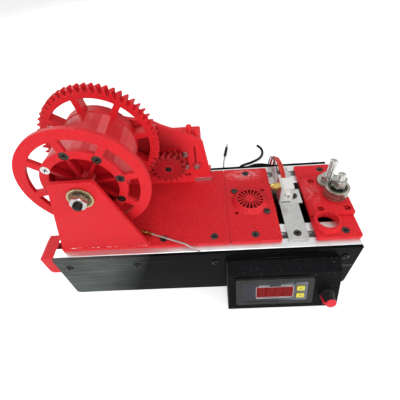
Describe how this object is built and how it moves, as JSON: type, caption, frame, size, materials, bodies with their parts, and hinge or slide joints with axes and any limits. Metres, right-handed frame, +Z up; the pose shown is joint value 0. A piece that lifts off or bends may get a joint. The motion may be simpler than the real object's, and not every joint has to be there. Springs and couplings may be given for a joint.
{
  "type": "filament extruder",
  "caption": "Bench machine that cuts plastic strip, pulls it through a heated nozzle and winds the filament on a motor-driven geared spool, on a slotted rail frame.",
  "frame": {"origin": "middle of the machine's underside, on the table", "axes": "+X along the rails from the spool to the cutter, +Y from the control panel to the back, +Z up"},
  "size_m": [0.324, 0.3006, 0.205],
  "materials": {
    "rail_aluminium": "satin anodised",
    "red_print": "satin printed plastic",
    "black_acrylic": "gloss",
    "black_steel": "black oxide",
    "zinc_steel": "zinc plated",
    "bearing_steel": "polished",
    "sheet_aluminium": "brushed",
    "block_aluminium": "milled",
    "brass": "turned",
    "gearbox_metal": "cast",
    "can_metal": "satin",
    "lead_red": "silicone sleeve",
    "lead_black": "satin",
    "lead_grey": "braided",
    "fan_black": "matte",
    "case_black": "satin",
    "face_grey": "satin foil",
    "display_red": "gloss tinted",
    "key_yellow": "satin",
    "board_green": "lacquered",
    "knob_black": "satin",
    "rubber_black": "matte",
    "sleeve_steel": "heat-shrink",
    "filament_white": "translucent"
  },
  "bodies": {
    "frame": {"front_rail": "rail_aluminium", "rear_rail": "rail_aluminium", "cross_rails": "rail_aluminium", "rail_end_caps": "red_print", "front_panel": "black_acrylic", "rear_panel": "black_acrylic", "end_panels": "black_acrylic", "bottom_plate": "black_acrylic", "panel_screws": "black_steel", "slot_nuts": "zinc_steel", "base_plate": "red_print", "fan_plate": "red_print", "cutter_plate": "red_print", "plate_screws": "black_steel", "front_bracket": "red_print", "rear_bracket": "red_print", "packing_strip": "sheet_aluminium", "bracket_bolts": "zinc_steel", "bearing_outer_rings": "bearing_steel", "motor_gearbox": "gearbox_metal", "motor_can": "can_metal", "motor_cover": "red_print", "motor_screws": "zinc_steel", "cross_bar": "sheet_aluminium", "heater_angle": "sheet_aluminium", "heater_block": "block_aluminium", "nozzle": "brass", "heater_cartridge": "zinc_steel", "hot_end_screws": "black_steel", "heater_leads": "lead_red", "thermistor_lead": "lead_black", "cutter_bolts": "zinc_steel", "cutter_bushes": "bearing_steel", "fan_frame": "fan_black", "fan_screws": "black_steel", "console_box": "case_black", "controller_case": "case_black", "controller_face": "face_grey", "display_window": "display_red", "speed_controller": "board_green", "lead_grommets": "rubber_black", "supply_lead": "lead_black", "sensor_lead": "lead_grey", "sensor_sleeve": "sleeve_steel", "strand_guide": "brass", "filament_end": "filament_white"},
    "spool": {"axle": "zinc_steel", "axle_nuts": "zinc_steel", "bearing_inner_rings": "bearing_steel", "front_flange": "red_print", "spool_drum": "red_print", "spool_gear": "red_print", "flange_screws": "black_steel"},
    "pinion": {"pinion": "red_print"},
    "fan_rotor": {"fan_rotor": "fan_black"},
    "rear_ring": {"rear_cutter_ring": "bearing_steel"},
    "front_ring": {"front_cutter_ring": "bearing_steel"},
    "knob": {"speed_knob": "knob_black"},
    "upper_key": {"upper_button": "key_yellow"},
    "lower_key": {"lower_button": "key_yellow"}
  },
  "joints": [
    {"name": "spool_spin", "type": "hinge", "parent": "frame", "child": "spool", "pos_m": [-0.0972, 0, 0.147], "axis": [0, 1, 0], "continuous": true},
    {"name": "pinion_spin", "type": "hinge", "parent": "frame", "child": "pinion", "pos_m": [-0.03476, 0.0255, 0.10918], "axis": [0, 1, 0], "continuous": true},
    {"name": "fan_spin", "type": "hinge", "parent": "frame", "child": "fan_rotor", "pos_m": [0.0519, 0, 0.065], "axis": [0, 0, 1], "continuous": true},
    {"name": "rear_ring_spin", "type": "hinge", "parent": "frame", "child": "rear_ring", "pos_m": [0.1398, 0.0185, 0.0785], "axis": [0, 0, 1], "continuous": true},
    {"name": "front_ring_spin", "type": "hinge", "parent": "frame", "child": "front_ring", "pos_m": [0.1413, -0.0025, 0.0865], "axis": [0, 0, 1], "continuous": true},
    {"name": "knob_turn", "type": "hinge", "parent": "frame", "child": "knob", "pos_m": [0.1224, -0.08508, 0.02049], "axis": [0, -0.9397, 0.342], "range_deg": [-270, 0]},
    {"name": "upper_key_press", "type": "slide", "parent": "frame", "child": "upper_key", "axis": [0, 0.9397, -0.342], "range_m": [0, 0.0008], "stiffness_N_per_m": 400, "springref_m": -0.0005},
    {"name": "lower_key_press", "type": "slide", "parent": "frame", "child": "lower_key", "axis": [0, 0.9397, -0.342], "range_m": [0, 0.0008], "stiffness_N_per_m": 400, "springref_m": -0.0005}
  ],
  "couplings": [
    {"joint": "pinion_spin", "follows": "spool_spin", "ratio": -3.2941}
  ]
}
